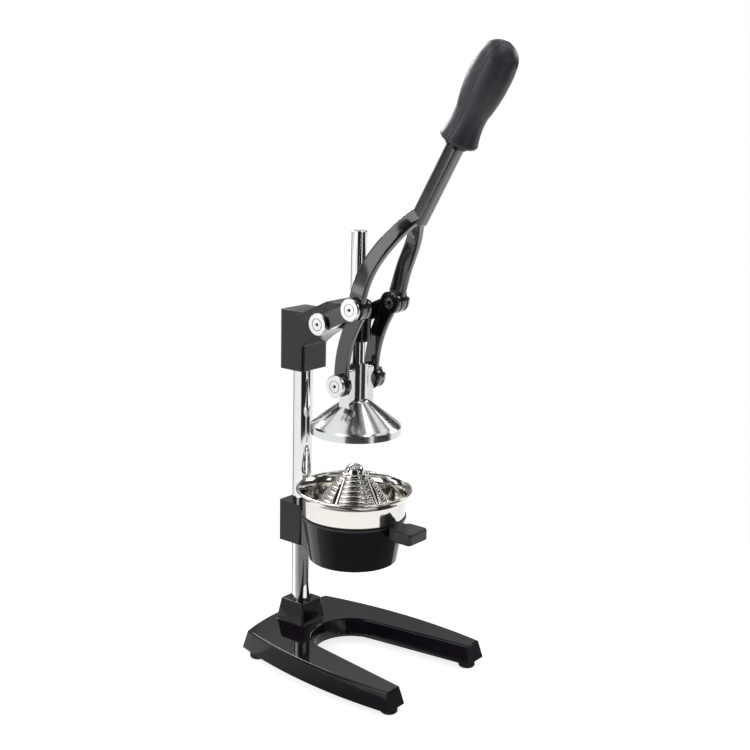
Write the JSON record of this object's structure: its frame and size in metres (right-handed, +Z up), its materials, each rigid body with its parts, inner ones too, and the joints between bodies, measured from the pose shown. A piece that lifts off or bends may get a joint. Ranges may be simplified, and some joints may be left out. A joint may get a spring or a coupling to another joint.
{
  "type": "citrus press juicer",
  "caption": "Free-standing lever citrus press with a U-shaped cast foot, column, strainer bowl, ribbed reamer and a bell driven down by a forked lever.",
  "frame": {"origin": "on the worktop plane under the middle of the whole press's bounding box", "axes": "+Z up, -Y towards the user where the legs of the foot and the lever point, +X to the user's right"},
  "size_m": [0.1818, 0.2892, 0.6674],
  "materials": {
    "black_enamel": "gloss",
    "black_rubber": "matte",
    "zinc_steel": "satin",
    "chrome": "polished",
    "bright_screw": "polished",
    "black_plastic": "satin",
    "satin_stainless": "satin",
    "polished_stainless": "polished",
    "turned_aluminium": "satin",
    "matte_grip": "matte",
    "black_ferrule": "satin"
  },
  "bodies": {
    "frame": {"base_casting": "black_enamel", "front_left_foot": "black_rubber", "front_right_foot": "black_rubber", "rear_left_foot": "black_rubber", "rear_right_foot": "black_rubber", "foot_screws": "zinc_steel", "column": "chrome", "column_bolt": "zinc_steel", "column_washer": "zinc_steel", "cup_holder": "black_enamel", "holder_set_screws": "zinc_steel", "head_casting": "black_enamel", "head_set_screws": "zinc_steel", "left_main_screw": "bright_screw", "right_main_screw": "bright_screw", "left_main_washer": "zinc_steel", "right_main_washer": "zinc_steel"},
    "funnel": {"juice_funnel": "black_plastic"},
    "strainer": {"strainer_bowl": "satin_stainless", "reamer": "polished_stainless"},
    "press": {"press_rod": "chrome", "press_bell": "turned_aluminium", "bell_screw": "zinc_steel", "left_lower_screw": "bright_screw", "right_lower_screw": "bright_screw", "left_lower_washer": "zinc_steel", "right_lower_washer": "zinc_steel"},
    "lever": {"lever_fork": "black_enamel", "lever_grip": "matte_grip", "grip_ferrule": "black_ferrule", "left_upper_screw": "bright_screw", "right_upper_screw": "bright_screw", "left_upper_washer": "zinc_steel", "right_upper_washer": "zinc_steel"},
    "left_link_body": {"left_link": "black_enamel"},
    "right_link_body": {"right_link": "black_enamel"}
  },
  "joints": [
    {"name": "lever_pivot", "type": "hinge", "parent": "frame", "child": "lever", "pos_m": [0, 0.0562, 0.3801], "axis": [1, 0, 0], "range_deg": [-10, 60]},
    {"name": "press_slide", "type": "slide", "parent": "frame", "child": "press", "axis": [0, 0, -1], "range_m": [-0.0084, 0.0499]},
    {"name": "left_link_pivot", "type": "hinge", "parent": "lever", "child": "left_link_body", "pos_m": [-0.025, 0.011, 0.4014], "axis": [1, 0, 0], "range_deg": [-60, 10.5]},
    {"name": "right_link_pivot", "type": "hinge", "parent": "lever", "child": "right_link_body", "pos_m": [0.025, 0.011, 0.4014], "axis": [1, 0, 0], "range_deg": [-60, 10.5]},
    {"name": "funnel_lift", "type": "slide", "parent": "frame", "child": "funnel", "axis": [0, 0, 1], "range_m": [0, 0.006]},
    {"name": "strainer_lift", "type": "slide", "parent": "funnel", "child": "strainer", "axis": [0, 0, 1], "range_m": [0, 0.006]}
  ],
  "couplings": [
    {"joint": "press_slide", "follows": "lever_pivot", "m_per_rad": 0.0475},
    {"joint": "left_link_pivot", "follows": "lever_pivot", "ratio": -0.995},
    {"joint": "right_link_pivot", "follows": "lever_pivot", "ratio": -0.995}
  ]
}
